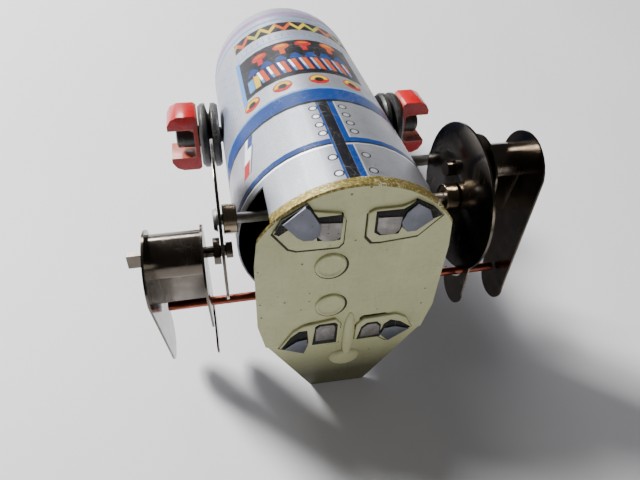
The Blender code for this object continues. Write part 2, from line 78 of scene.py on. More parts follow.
MM = 0.001
PER_METRE = 1000.0
PLATE_Y = -59.65
AXIS_Z = 46.43
BODY_RADIUS = 24.9
BEND_HEIGHT = -22.5
BEND_SLOPE = math.tan(math.radians(5.0))
UPRIGHT = (math.pi / 2.0, 0.0, 0.0)
MIX_UNDER, MIX_OVER, MIX_RESULT = 6, 7, 2
DISPLAY_TOP, TOE_END, TOE_SLOPE = 255.0, 0.04045, 12.92
CURVE_LIFT, CURVE_SCALE, CURVE_POWER = 0.055, 1.055, 2.4


def place(station: float, height: float, x: float = 0.0) -> Vector:
    """Turn a place on the robot, in millimetres, into the row's metres.

    Args:
        station: distance from the base plate towards the dome.
        height: distance above the body's axis.
        x: distance to the key's side.

    Returns:
        The point in the row frame.
    """
    return Vector((x * MM, (station + PLATE_Y) * MM, (height + AXIS_Z) * MM))


def ink(red: int, green: int, blue: int) -> Colour:
    """Turn an 8-bit display colour into the linear colour a socket takes."""
    linear = []
    for part in (red, green, blue):
        value = part / DISPLAY_TOP
        curve = ((value + CURVE_LIFT) / CURVE_SCALE) ** CURVE_POWER
        linear.append(value / TOE_SLOPE if value <= TOE_END else curve)
    return (linear[0], linear[1], linear[2], 1.0)


class Field:
    """A value that changes over a surface; its arithmetic adds Math nodes to the tree."""

    def __init__(self, tree: Tree, socket: Socket) -> None:
        """Hold the tree and the socket that carries the value."""
        self.tree = tree
        self.socket = socket

    def math(self, operation: str, *others: "Field | float", clamp: bool = False) -> "Field":
        """Add one Math node.

        Args:
            operation: the node's operation name.
            others: the second and third inputs, as fields or numbers.
            clamp: whether the result is held between 0 and 1.

        Returns:
            The node's result.
        """
        node = self.tree.nodes.new("ShaderNodeMath")
        node.operation = operation
        node.use_clamp = clamp
        self.tree.links.new(self.socket, node.inputs[0])
        for slot, other in enumerate(others, start=1):
            if isinstance(other, Field):
                self.tree.links.new(other.socket, node.inputs[slot])
            else:
                node.inputs[slot].default_value = other
        return Field(self.tree, node.outputs[0])

    def __add__(self, other: "Field | float") -> "Field":
        """Sum."""
        return self.math("ADD", other)

    def __sub__(self, other: "Field | float") -> "Field":
        """Difference."""
        return self.math("SUBTRACT", other)

    def __mul__(self, other: "Field | float") -> "Field":
        """Product."""
        return self.math("MULTIPLY", other)

    def above(self, edge: float, soft: float = 0.12) -> "Field":
        """A mask that is 1 above the edge, over a soft step."""
        return self.math("MULTIPLY_ADD", 1.0 / soft, 0.5 - edge / soft, clamp=True)

    def below(self, edge: float, soft: float = 0.12) -> "Field":
        """A mask that is 1 below the edge, over a soft step."""
        return self.math("MULTIPLY_ADD", -1.0 / soft, 0.5 + edge / soft, clamp=True)

    def between(self, low: float, high: float, soft: float = 0.12) -> "Field":
        """A mask that is 1 from low to high."""
        return self.above(low, soft) * self.below(high, soft)

    def repeat(self, period: float, start: float = 0.0) -> "Field":
        """The distance into the current repeat, from 0 to the period."""
        return (self - start).math("FLOORED_MODULO", period)


class Paint:
    """A material being mixed: one Principled shader with named fields for the surface's place."""

    def __init__(self, name: str) -> None:
        """Start a material with its shader and the place fields in millimetres."""
        self.material = bpy.data.materials.new(name)
        self.material.use_nodes = True
        self.tree = self.material.node_tree
        self.shader = self.tree.nodes["Principled BSDF"]
        coordinates = self.tree.nodes.new("ShaderNodeTexCoord")
        self.coordinates = coordinates.outputs["Object"]
        split = self.tree.nodes.new("ShaderNodeSeparateXYZ")
        self.tree.links.new(self.coordinates, split.inputs[0])
        self.x = Field(self.tree, split.outputs["X"]) * PER_METRE
        self.station = Field(self.tree, split.outputs["Y"]).math("MULTIPLY_ADD", PER_METRE, -PLATE_Y)
        self.height = Field(self.tree, split.outputs["Z"]).math("MULTIPLY_ADD", PER_METRE, -AXIS_Z)

    def settings(self, **values: float | Colour) -> "Paint":
        """Set constant shader sockets; underscores in a name stand for spaces."""
        for key, value in values.items():
            self.shader.inputs[key.replace("_", " ")].default_value = value
        return self

    def mix(self, under: "Socket | tuple", over: "Socket | tuple",
            mask: Field) -> Socket:
        """Lay one colour over another through a mask and return the mixed colour."""
        node = self.tree.nodes.new("ShaderNodeMix")
        node.data_type = "RGBA"
        self.tree.links.new(mask.socket, node.inputs["Factor"])
        for slot, colour in ((MIX_UNDER, under), (MIX_OVER, over)):
            if isinstance(colour, tuple):
                node.inputs[slot].default_value = colour
            else:
                self.tree.links.new(colour, node.inputs[slot])
        return node.outputs[MIX_RESULT]

    def effect(self, group: Tree, **values: float) -> Field:
        """Place a shared effect with its own values and return its mask."""
        node = self.tree.nodes.new("ShaderNodeGroup")
        node.node_tree = group
        self.tree.links.new(self.coordinates, node.inputs["Place"])
        for key, value in values.items():
            node.inputs[key].default_value = value
        return Field(self.tree, node.outputs["Mask"])

    def wear(self, *marks: tuple[Tree, float, float]) -> tuple[Field, ...]:
        """Place several shared effects, each with its scale and amount, and return their masks."""
        return tuple(self.effect(group, Scale=scale, Amount=amount) for group, scale, amount in marks)

    def coats(self, under: "Socket | tuple", *layers: "tuple[Socket | tuple, Field]") -> Socket:
        """Lay several colours in turn, each through its mask, and return the mixed colour."""
        for over, mask in layers:
            under = self.mix(under, over, mask)
        return under

    def link(self, source: "Field | Socket", socket: str) -> "Paint":
        """Join a field or colour to a shader socket."""
        self.tree.links.new(source.socket if isinstance(source, Field) else source, self.shader.inputs[socket])
        return self

    def bump(self, height: Field, distance_mm: float, strength: float = 1.0) -> "Paint":
        """Drive the normal from a height field."""
        node = self.tree.nodes.new("ShaderNodeBump")
        node.inputs["Strength"].default_value = strength
        node.inputs["Distance"].default_value = distance_mm * MM
        self.tree.links.new(height.socket, node.inputs["Height"])
        self.tree.links.new(node.outputs["Normal"], self.shader.inputs["Normal"])
        return self


class Effects:
    """Shared effects, each a node group built once: smudges, scratches and specks."""

    def __init__(self) -> None:
        """Build the groups."""
        self.smudges = self.noise_group("Smudges", detail=6.0, low=0.35, high=0.70, stretch=(1.0, 1.0, 1.0))
        self.scratches = self.ridge_group()
        self.specks = self.speck_group()
        self.streaks = self.noise_group("Streaks", detail=3.0, low=0.42, high=0.62, stretch=(1.0, 0.03, 1.0))

    def start(self, name: str) -> tuple[Tree, Node, Node]:
        """Start a group with a place, a scale and an amount, and a mask out."""
        group = bpy.data.node_groups.new(name, "ShaderNodeTree")
        group.interface.new_socket("Place", in_out="INPUT", socket_type="NodeSocketVector")
        for title, value in (("Scale", 200.0), ("Amount", 1.0)):
            socket = group.interface.new_socket(title, in_out="INPUT", socket_type="NodeSocketFloat")
            socket.default_value = value
        group.interface.new_socket("Mask", in_out="OUTPUT", socket_type="NodeSocketFloat")
        return group, group.nodes.new("NodeGroupInput"), group.nodes.new("NodeGroupOutput")

    def noise(self, group: Tree, source: Node, turn: Triple, stretch: Triple, detail: float) -> Field:
        """Add a noise over the place, turned and stretched.

        Args:
            group: the group it is added to.
            source: the group's inputs.
            turn: the place's rotation, in radians.
            stretch: the place's scale along each axis.
            detail: the noise's detail.

        Returns:
            The noise's value.
        """
        mapping = group.nodes.new("ShaderNodeMapping")
        mapping.inputs["Scale"].default_value = stretch
        mapping.inputs["Rotation"].default_value = turn
        group.links.new(source.outputs["Place"], mapping.inputs["Vector"])
        noise = group.nodes.new("ShaderNodeTexNoise")
        noise.inputs["Detail"].default_value = detail
        group.links.new(mapping.outputs["Vector"], noise.inputs["Vector"])
        group.links.new(source.outputs["Scale"], noise.inputs["Scale"])
        return Field(group, noise.outputs[0])

    def give(self, group: Tree, source: Node, out: Node, mask: Field) -> Tree:
        """Put out a mask times the group's amount, and return the finished group."""
        group.links.new((mask * Field(group, source.outputs["Amount"])).socket, out.inputs["Mask"])
        return group

    def noise_group(self, name: str, detail: float, low: float, high: float, stretch: Triple) -> Tree:
        """A cloudy mask.

        Args:
            name: the group's name.
            detail: the noise's detail.
            low: the noise value that becomes 0.
            high: the noise value that becomes 1.
            stretch: scale along each axis.

        Returns:
            The group.
        """
        group, source, out = self.start(name)
        cloud = self.noise(group, source, (0.0, 0.0, 0.0), stretch, detail)
        return self.give(group, source, out, cloud.between(low, 2.0, soft=high - low))

    def ridge_group(self) -> Tree:
        """Fine scratches: thin lines where three stretched noises cross their middle value, in patches."""
        group, source, out = self.start("Scratches")
        total = None
        for turn, stretch in (((0.3, 0.9, 0.2), (1.0, 1.0, 0.07)), ((1.1, -0.5, 0.8), (0.06, 1.0, 1.0)),
                              ((0.2, 2.1, -0.4), (1.0, 0.5, 0.05))):
            noise = self.noise(group, source, turn, stretch, 1.0)
            line = (noise - 0.5).math("ABSOLUTE").below(0.006, soft=0.008)
            total = line if total is None else total.math("MAXIMUM", line)
        patch = group.nodes.new("ShaderNodeTexNoise")
        group.links.new(source.outputs["Place"], patch.inputs["Vector"])
        patch.inputs["Scale"].default_value = 160.0
        return self.give(group, source, out, total * Field(group, patch.outputs[0]).above(0.5, soft=0.12))

    def speck_group(self) -> Tree:
        """Dark dust and pits: a few random cells, each with a small dot."""
        group, source, out = self.start("Specks")
        cells = group.nodes.new("ShaderNodeTexVoronoi")
        for socket, target in (("Place", "Vector"), ("Scale", "Scale")):
            group.links.new(source.outputs[socket], cells.inputs[target])
        chance = group.nodes.new("ShaderNodeSeparateColor")
        group.links.new(cells.outputs["Color"], chance.inputs[0])
        picked = Field(group, chance.outputs["Red"]).above(0.80, soft=0.05)
        dot = Field(group, cells.outputs["Distance"]).below(0.13, soft=0.10)
        return self.give(group, source, out, picked * dot)


@dataclass(frozen=True)
class BrightMetal:
    """Plated or bare metal with handling marks."""

    name: str
    colour: Colour
    tarnish: Colour
    roughness: float
    marks: float = 0.5
    grain: float = 260.0

    def build(self, effects: Effects) -> Material:
        """Mix the material."""
        paint = Paint(self.name).settings(Metallic=1.0, Specular_IOR_Level=0.5)
        smudge, scratch, speck = paint.wear(
            (effects.smudges, self.grain, 1.0), (effects.scratches, self.grain * 1.6, self.marks),
            (effects.specks, 900.0, self.marks))
        colour = paint.coats(self.colour, (self.tarnish, smudge * 0.55), (ink(40, 36, 30), speck * 0.6))
        paint.link(colour, "Base Color")
        paint.link(smudge.math("MULTIPLY_ADD", 0.10, self.roughness) + scratch * 0.2, "Roughness")
        paint.bump(scratch + smudge * 0.05, 0.01, strength=0.5)
        return paint.material


@dataclass(frozen=True)
class Plastic:
    """Moulded plastic: glossy or satin, with faint mould texture and handling dirt."""

    name: str
    colour: Colour
    worn: Colour
    roughness: float
    coat: float

    def build(self, effects: Effects) -> Material:
        """Mix the material."""
        paint = Paint(self.name).settings(Metallic=0.0, Coat_Weight=self.coat, Coat_Roughness=0.08)
        smudge, speck, scratch = paint.wear(
            (effects.smudges, 420.0, 1.0), (effects.specks, 1100.0, 0.7), (effects.scratches, 500.0, 0.5))
        colour = paint.coats(self.colour, (self.worn, smudge * 0.35), (ink(196, 186, 160), (scratch + speck) * 0.25))
        paint.link(colour, "Base Color")
        paint.link(smudge.math("MULTIPLY_ADD", 0.16, self.roughness), "Roughness")
        paint.bump(smudge * 0.3 + scratch, 0.02, strength=0.4)
        return paint.material


@dataclass(frozen=True)
class ClawRed:
    """Glossy red claws whose moulded side edges show tan."""

    name: str = "claw_red"

    def build(self, effects: Effects) -> Material:
        """Mix the material, with tan on the faces across the arm and a thin tan root."""
        paint = Paint(self.name).settings(Specular_IOR_Level=0.35, Coat_Weight=0.22, Coat_Roughness=0.08)
        smudge, speck, scratch = paint.wear(
            (effects.smudges, 380.0, 1.0), (effects.specks, 1200.0, 0.8), (effects.scratches, 600.0, 0.6))
        out = paint.x.math("ABSOLUTE")
        root = out.below(32.35, soft=0.25)
        lip = paint.height.math("ABSOLUTE").below(5.05, soft=0.3) * out.above(33.2, soft=0.4)
        colour = paint.coats(ink(186, 6, 16), (ink(140, 2, 10), smudge * 0.5),
                             (ink(150, 118, 88), (root + lip).math("MINIMUM", 1.0) * 0.4),
                             (ink(226, 150, 140), scratch * 0.12 + speck * 0.15))
        paint.link(colour, "Base Color")
        paint.link(smudge.math("MULTIPLY_ADD", 0.15, 0.16) + root * 0.4, "Roughness")
        paint.bump(scratch * 0.4 + smudge * 0.2, 0.01, strength=0.3)
        return paint.material


@dataclass(frozen=True)
class WornCream:
    """Khaki-cream lacquer on the base plate, with the rim rubbed to gold, and painted shade that darkens the foot
    towards its bottom edge.
    """

    name: str = "worn_cream_lacquer"
    # how much painted shade darkens the foot
    painted_foot_shade: float = 0.93

    def build(self, effects: Effects) -> Material:
        """Mix the material: lacquer, specks and scuffs, a rim of bare golden metal, and painted shade on the foot."""
        paint = Paint(self.name).settings(Coat_Weight=0.12, Coat_Roughness=0.25)
        radius = (paint.x * paint.x + paint.height * paint.height).math("SQRT")
        rim = radius.above(25.02, soft=0.2) * paint.height.above(-2.0, soft=3.0)
        smudge, fine, worn, scratch, speck, dust = paint.wear(
            (effects.smudges, 150.0, 1.0), (effects.smudges, 900.0, 1.0), (effects.smudges, 1700.0, 1.0),
            (effects.scratches, 420.0, 1.0), (effects.specks, 520.0, 1.0), (effects.specks, 1500.0, 0.6))
        # painted shade: the foot darkens towards its bottom edge, standing in for the shade near the table
        painted_shade = paint.height.below(-31.0, soft=17.0)
        lacquer = paint.coats(ink(196, 197, 150), (ink(180, 181, 134), smudge), (ink(206, 207, 164), fine * 0.3),
                              (ink(62, 56, 36), (speck + dust).math("MINIMUM", 1.0) * 0.9),
                              (ink(150, 148, 110), scratch * 0.16), (ink(58, 54, 36), painted_shade * self.painted_foot_shade))
        gold = paint.coats(ink(198, 184, 116), (ink(104, 90, 34), worn),
                           (ink(250, 248, 226), (scratch * 0.5).math("MINIMUM", 1.0)))
        inside = paint.station.above(0.56, soft=0.1) * radius.below(25.2, soft=0.1)
        colour = paint.coats(lacquer, (gold, rim), (ink(120, 118, 96), inside))
        paint.link(colour, "Base Color")
        paint.link(rim * 0.6, "Metallic")
        paint.link(smudge.math("MULTIPLY_ADD", 0.10, 0.42) - rim * 0.06 + scratch * 0.1, "Roughness")
        paint.bump(fine * 0.12 + worn * rim * 0.6 - scratch * rim * 0.6 - speck * 0.8, 0.04, strength=0.5)
        return paint.material


class Ink(Enum):
    """The litho inks of the printed body."""

    SILVER = ink(196, 198, 204)
    SHADE = ink(138, 140, 148)
    BLUE = ink(0, 44, 104)
    DEEP_BLUE = ink(2, 18, 66)
    PALE_BLUE = ink(66, 118, 172)
    BLACK = ink(10, 10, 16)
    WHITE = ink(244, 246, 250)
    RED = ink(150, 8, 10)
    DARK_RED = ink(132, 14, 18)
    YELLOW = ink(186, 156, 22)
    OLIVE = ink(150, 146, 50)
    ORANGE = ink(168, 62, 10)
    LILAC = ink(132, 116, 160)
    # near-black painted shade for the shell's inner wall
    INNER_SHADE = ink(14, 14, 15)


class PrintRun:
    """The body's print while it is laid down: its paint, the places round the body and the colour so far."""

    def __init__(self, name: str) -> None:
        """Start the material and measure the angle, in degrees, and the distance round the body."""
        self.paint = Paint(name).settings(Specular_IOR_Level=0.16, Coat_Weight=0.03, Coat_Roughness=0.1)
        self.angle = self.paint.x.math("ARCTAN2", self.paint.height) * math.degrees(1.0)
        self.arc = self.angle * (math.radians(1.0) * BODY_RADIUS)
        self.station = self.paint.station
        self.colour = Ink.SILVER.value

    def lay(self, tone: "Ink | Socket | Colour", mask: Field) -> None:
        """Lay one ink or colour over the print through a mask."""
        self.colour = self.paint.mix(self.colour, tone.value if isinstance(tone, Ink) else tone, mask)

    def box(self, turn: Triple, along: Triple) -> Field:
        """A mask over a box of angles and stations, each given as its low edge, high edge and softness."""
        return self.angle.between(*turn) * self.station.between(*along)

    def spot(self, angle: float, station: float, size: float, squeeze: float = 1.0) -> Field:
        """Distance from a printed spot's centre over its size.

        Args:
            angle: the spot's angle round the body, in degrees.
            station: the spot's station.
            size: the spot's radius, in millimetres.
            squeeze: how much longer the spot is along the body.

        Returns:
            A field that is 1 at the spot's edge.
        """
        across = (self.arc - math.radians(angle) * BODY_RADIUS) * (1.0 / size)
        along = (self.station - station) * (1.0 / (size * squeeze))
        return (across * across + along * along).math("SQRT")

    def nearest(self, centres: Outline, size: float) -> Field:
        """Distance from the nearest of several equal spots, each given as its angle and station."""
        near = None
        for angle, station in centres:
            spot = self.spot(angle, station, size)
            near = spot if near is None else near.math("MINIMUM", spot)
        return near


@dataclass(frozen=True)
class LithoPrint:
    """Silver lacquer with the printed belts, rivets, buttons and control panel."""

    name: str = "litho_print"
    rivet_angles: tuple[float, float] = (-8.0, 9.0)
    rivet_stations: tuple[float, ...] = (33.2, 29.2, 25.3, 21.5, 11.6, 5.7)
    rivet_size: float = 1.15
    button_angles: tuple[float, ...] = (-42.0, -20.0, 3.0, 25.0)
    button_station: float = 48.4
    button_size: float = 2.75
    knobs: tuple[tuple[float, float, bool], ...] = ((-29.0, 71.0, True), (-12.5, 72.2, False),
                                                   (3.0, 72.8, True), (21.0, 73.0, False))
    knob_size: float = 2.5

    def side_hatch(self, run: PrintRun) -> None:
        """Pale slanted hatching on both flanks, above the belt."""
        size = run.angle.math("ABSOLUTE")
        region = size.between(52.0, 118.0, 2.0) * run.station.between(49.0, 84.0, 0.6)
        lines = (size * 0.45 + run.station).repeat(3.6).between(0.5, 1.5, 0.3)
        run.lay(Ink.PALE_BLUE, region * lines * 0.55)
        fine = (run.station - size * 0.6).repeat(5.2).between(0.3, 0.9, 0.3)
        run.lay(Ink.LILAC, region * fine * 0.4)

    def badge(self, run: PrintRun) -> None:
        """Small slanted blocks of blue, white and red on both flanks, below the belt."""
        lean = run.angle.math("ABSOLUTE") + (run.station - 29.0) * 0.55
        for tone, across, along, share in (
                (Ink.WHITE, (50.0, 57.0, 1.2), (23.0, 37.0, 0.4), 0.9),
                (Ink.BLUE, (50.0, 54.5, 1.0), (32.0, 36.0, 0.5), 1.0),
                (Ink.RED, (51.0, 57.0, 1.0), (22.5, 27.5, 0.5), 1.0),
                (Ink.DEEP_BLUE, (49.0, 50.6, 0.6), (22.5, 32.0, 0.5), 0.8)):
            run.lay(tone, lean.between(*across) * run.station.between(*along) * share)

    def stripe(self, run: PrintRun) -> None:
        """The black and blue stripe up the front, from the rim to the belt."""
        length = run.station.below(37.0, 0.3)
        for low, high, tone in ((-5.6, -4.3, Ink.BLUE), (-4.3, 1.4, Ink.BLACK), (1.4, 4.7, Ink.BLUE),
                                (4.7, 5.5, Ink.WHITE)):
            run.lay(tone, run.angle.between(low, high, 0.25) * length)

    def belts(self, run: PrintRun) -> None:
        """The wide belt and the thin line below it, each with its black and white edges."""
        clear = run.angle.between(-5.6, 1.4, 0.3).math("MULTIPLY_ADD", -1.0, 1.0)
        for low, high, tone, keep in ((15.9, 16.5, Ink.WHITE, True), (16.5, 17.3, Ink.BLACK, True),
                                      (17.2, 18.9, Ink.BLUE, True), (35.9, 37.1, Ink.BLACK, False),
                                      (37.0, 43.1, Ink.BLUE, False), (43.1, 43.9, Ink.PALE_BLUE, False)):
            mask = run.station.between(low, high, 0.2)
            run.lay(tone, mask * clear if keep else mask)

    def rivets(self, run: PrintRun) -> None:
        """White printed rivets with black rings, in rows beside the stripe."""
        centres = tuple((angle, station) for station in self.rivet_stations for angle in self.rivet_angles)
        near = run.nearest(centres, self.rivet_size)
        run.lay(Ink.BLACK, near.below(1.0, 0.12))
        run.lay(Ink.WHITE, near.below(0.66, 0.14))

    def buttons(self, run: PrintRun) -> None:
        """Round buttons above the belt: dark-red ring, yellow crescent and dark middle."""
        near = run.nearest(tuple((angle, self.button_station) for angle in self.button_angles), self.button_size)
        upper = run.station.above(self.button_station - 0.3, 0.5)
        run.lay(Ink.DARK_RED, near.below(1.0, 0.1))
        run.lay(Ink.RED, near.below(0.86, 0.1))
        run.lay(Ink.YELLOW, near.below(0.84, 0.1) * upper)
        run.lay(Ink.BLACK, near.below(0.45, 0.15))

    def panel(self, run: PrintRun) -> None:
        """The control panel's black ground, slanted bars and blue domes."""
        run.lay(Ink.PALE_BLUE, run.box((-48.5, -44.5, 0.6), (50.5, 77.0, 0.6)))
        run.lay(Ink.BLACK, run.box((-45.0, 36.0, 0.5), (52.2, 75.6, 0.4)))
        row = run.box((-36.5, 30.0, 0.5), (55.0, 62.5, 0.4))
        slant = (run.angle + run.station * 0.35).repeat(7.4, 1.0)
        middle = row * slant.between(2.2, 3.8, 0.5)
        for tone, mask in ((Ink.DEEP_BLUE, row * slant.between(0.2, 2.4, 0.4)),
                           (Ink.WHITE, middle * run.station.above(57.0, 1.5)),
                           (Ink.PALE_BLUE, middle * run.station.below(57.0, 1.5)),
                           (Ink.ORANGE, row * slant.between(4.2, 7.2, 0.4)),
                           (Ink.YELLOW, run.box((-36.5, -32.6, 0.5), (54.5, 61.5, 0.4))),
                           (Ink.PALE_BLUE, run.box((-41.5, -36.9, 0.5), (54.5, 61.0, 0.5)))):
            run.lay(tone, mask)
        wave = run.angle.repeat(10.2, -41.0) - 5.1
        dome = (wave * wave * 0.13 + (run.station - 62.5) * 0.8).below(3.2, 0.4)
        band = run.box((-41.0, 32.0, 0.4), (62.9, 68.5, 0.4))
        run.lay(Ink.BLUE, band * dome * wave.math("ABSOLUTE").below(4.4, 0.4))

    def mushrooms(self, run: PrintRun) -> None:
        """The panel's mushroom knobs: cap, stem and shine."""
        for centre, level, red in self.knobs:
            cap = run.spot(centre, level, self.knob_size, squeeze=0.8).below(1.0, 0.12)
            offset = (run.arc - math.radians(centre) * BODY_RADIUS).math("ABSOLUTE")
            stem = offset.below(0.8, 0.2) * run.station.between(level - 5.0, level, 0.3)
            run.lay(Ink.RED if red else Ink.ORANGE, cap.math("MAXIMUM", stem))
            shine = run.spot(centre, level + 0.7, 1.6, squeeze=0.5).below(1.0, 0.4)
            run.lay(Ink.YELLOW, shine * (0.25 if red else 0.55))

    def dome_bands(self, run: PrintRun) -> None:
        """Ticks, the zigzag band and thin coloured rings on the dome."""
        station = run.station
        front = run.angle.between(-46.0, 62.0, 0.8)
        ticks = run.angle.repeat(4.6).between(0.0, 0.9, 0.3) * station.between(79.0, 81.6, 0.3)
        run.lay(Ink.PALE_BLUE, ticks * front * 0.8)
        run.lay(Ink.PALE_BLUE, station.between(77.4, 78.1, 0.2) * front * 0.8)
        band = station.between(83.6, 90.6, 0.4) * front
        run.lay(Ink.BLACK, band)
        saw = (run.angle.repeat(11.0) - 5.5).math("ABSOLUTE") * 0.78 + 84.9
        line = (station - saw).math("ABSOLUTE")
        glow = run.paint.coats(Ink.YELLOW.value, (Ink.OLIVE.value, run.angle.repeat(22.0).above(11.0, 0.4)),
                               (Ink.ORANGE.value, run.angle.repeat(33.0).above(22.0, 3.0)))
        run.lay(glow, line.below(1.35, 0.4) * band)
        run.lay(Ink.LILAC, station.between(97.0, 100.4, 0.5) * 0.9)
        run.lay(Ink.RED, station.between(98.4, 99.2, 0.4) * 0.3)
        run.lay(Ink.PALE_BLUE, station.between(93.0, 94.4, 0.4) * 0.8)

    def inside(self, paint: Paint) -> Field:
        """A mask over the shell's inner wall, which faces the axis."""
        geometry = paint.tree.nodes.new("ShaderNodeNewGeometry")
        facing = paint.tree.nodes.new("ShaderNodeSeparateXYZ")
        paint.tree.links.new(geometry.outputs["Normal"], facing.inputs[0])
        outward = (Field(paint.tree, facing.outputs["X"]) * paint.x
                   + Field(paint.tree, facing.outputs["Z"]) * paint.height)
        radius = (paint.x * paint.x + paint.height * paint.height).math("SQRT")
        return outward.below(-0.5, 0.4) * radius.below(24.75, 0.1)

    def build(self, effects: Effects) -> Material:
        """Mix the material: print outside, and near-black painted shade on the inner wall."""
        run = PrintRun(self.name)
        paint = run.paint
        inside = self.inside(paint)
        smudge, flake, streak, speck, scratch = paint.wear(
            (effects.smudges, 120.0, 1.0), (effects.smudges, 2600.0, 1.0), (effects.streaks, 500.0, 1.0),
            (effects.specks, 700.0, 0.8), (effects.scratches, 380.0, 0.6))
        run.lay(Ink.SHADE, flake * 0.45 + smudge * 0.20 + streak * 0.15)
        for step in (self.side_hatch, self.badge, self.stripe, self.belts, self.rivets, self.buttons, self.panel,
                     self.mushrooms, self.dome_bands):
            step(run)
        run.lay(ink(60, 56, 48), speck * 0.3)
        run.lay(ink(228, 226, 218), scratch * 0.10)
        # painted shade: the inner wall is laid near black, standing in for the shade inside the shell
        run.lay(Ink.INNER_SHADE, inside)
        paint.link(run.colour, "Base Color")
        parts = paint.tree.nodes.new("ShaderNodeSeparateColor")
        paint.tree.links.new(run.colour, parts.inputs[0])
        red, green, blue = (Field(paint.tree, parts.outputs[channel]) for channel in range(3))
        least = red.math("MINIMUM", green).math("MINIMUM", blue)
        paint.link(least.above(0.26, 0.3) * 0.92, "Metallic")
        paint.link(smudge.math("MULTIPLY_ADD", 0.08, 0.30) + flake * 0.05 + inside * 0.3, "Roughness")
        paint.bump(flake * 0.05 + smudge * 0.1 - scratch * 0.5 - speck * 0.4, 0.03, strength=0.3)
        return paint.material


def deselect() -> None:
    """Leave object mode with nothing selected."""
    if bpy.context.object and bpy.context.object.mode != "OBJECT":
        bpy.ops.object.mode_set(mode="OBJECT")
    bpy.ops.object.select_all(action="DESELECT")


def shade(obj: Piece, angle: float = 35.0) -> None:
    """Smooth the shading of a finished piece below an angle, in degrees."""
    deselect()
    bpy.context.view_layer.objects.active = obj
    obj.select_set(True)
    bpy.ops.object.shade_smooth_by_angle(angle=math.radians(angle))
    obj.select_set(False)


def edit(obj: Piece) -> None:
    """Enter edit mode on one piece with nothing selected."""
    bpy.context.view_layer.objects.active = obj
    bpy.ops.object.mode_set(mode="EDIT")
    bpy.ops.mesh.select_all(action="DESELECT")
    bpy.ops.object.mode_set(mode="OBJECT")


def settle(name: str) -> Piece:
    """Name the newest primitive and keep its place in its mesh."""
    piece = bpy.context.object
    piece.name = name
    bpy.ops.object.transform_apply(location=True, rotation=True, scale=True)
    return piece


def close_up(piece: Piece, angle: float = 35.0) -> Piece:
    """Turn every face outwards and shade the piece below an angle, in degrees."""
    bpy.ops.mesh.select_all(action="SELECT")
    bpy.ops.mesh.normals_make_consistent(inside=False)
    bpy.ops.object.mode_set(mode="OBJECT")
    shade(piece, angle)
    return piece


@dataclass
class SmoothedParts:
    """The CAD solids whose sheet edges are eased and whose round faces shade smoothly."""

    eased: dict[str, float] = field(default_factory=lambda: {
        "crank_disc_left": 0.10, "crank_disc_right": 0.10, "leg_left": 0.09, "leg_right": 0.09,
        "crank_pin_left": 0.12, "crank_pin_right": 0.12, "crank_hub_left": 0.18, "crank_hub_right": 0.18,
        "claw_left": 0.60, "claw_right": 0.60, "arm_left": 0.15, "arm_right": 0.15, "guide_rod": 0.12,
        "crank_shaft": 0.12, "winding_key": 0.12, "winding_arbor": 0.10, "body_shell": 0.0, "base_plate": 0.08,
        "motor_plate_left": 0.0, "motor_plate_right": 0.0})
    tab_face: float = -0.62
    crease: float = 25.0
    soft_from: float = 0.3
    soft_crease: float = 60.0
    joined: float = 0.004
    flat_within: float = 0.3
    sharp_from: float = 40.0
    fine_steps: int = 2
    soft_steps: int = 5

    def copy_of(self, node: Piece) -> Piece:
        """Copy one CAD solid and join its loose triangles."""
        piece = node.copy()
        piece.data = node.data.copy()
        piece.name = node.name + "_finish"
        for key in list(piece.keys()):
            del piece[key]
        piece.parent = None
        bpy.context.scene.collection.objects.link(piece)
        deselect()
        bpy.context.view_layer.objects.active = piece
        piece.select_set(True)
        bpy.ops.object.mode_set(mode="EDIT")
        bpy.ops.mesh.select_all(action="SELECT")
        bpy.ops.mesh.remove_doubles(threshold=self.joined * MM)
        bpy.ops.mesh.dissolve_limited(angle_limit=math.radians(self.flat_within))
        bpy.ops.object.mode_set(mode="OBJECT")
        return piece

    def tuck(self, piece: Piece) -> None:
        """Press a motor plate's folded tabs flat, behind the shaped tab faces in front of them."""
        front = place(self.tab_face, 0.0).y
        for vertex in piece.data.vertices:
            vertex.co.y = max(vertex.co.y, front)

    def ease(self, piece: Piece, width: float) -> None:
        """Round the sharp edges of a copy by a width in millimetres."""
        bevel = piece.modifiers.new("eased", "BEVEL")
        bevel.width = width * MM
        bevel.segments = self.fine_steps if width < self.soft_from else self.soft_steps
        bevel.limit_method = "ANGLE"
        bevel.angle_limit = math.radians(self.sharp_from)
        bevel.miter_outer = "MITER_ARC"
        bpy.context.view_layer.objects.active = piece
        bpy.ops.object.modifier_apply(modifier="eased")

    def build(self, loaded: dict) -> None:
        """Finish each listed solid and let the copy stand for it."""
        for name, width in self.eased.items():
            node = loaded["nodes"][name]
            body = node["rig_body"]
            material = node.data.materials[0]
            piece = self.copy_of(node)
            if width:
                self.ease(piece, width)
            if name.startswith("motor_plate"):
                self.tuck(piece)
            shade(piece, self.crease if width < self.soft_from else self.soft_crease)
            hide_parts(name)
            mount(piece, body, material)


def bent_back(height: float) -> float:
    """How far towards the dome the foot's bend puts the face at a height, in millimetres."""
    return max(0.0, (BEND_HEIGHT - height) * BEND_SLOPE)


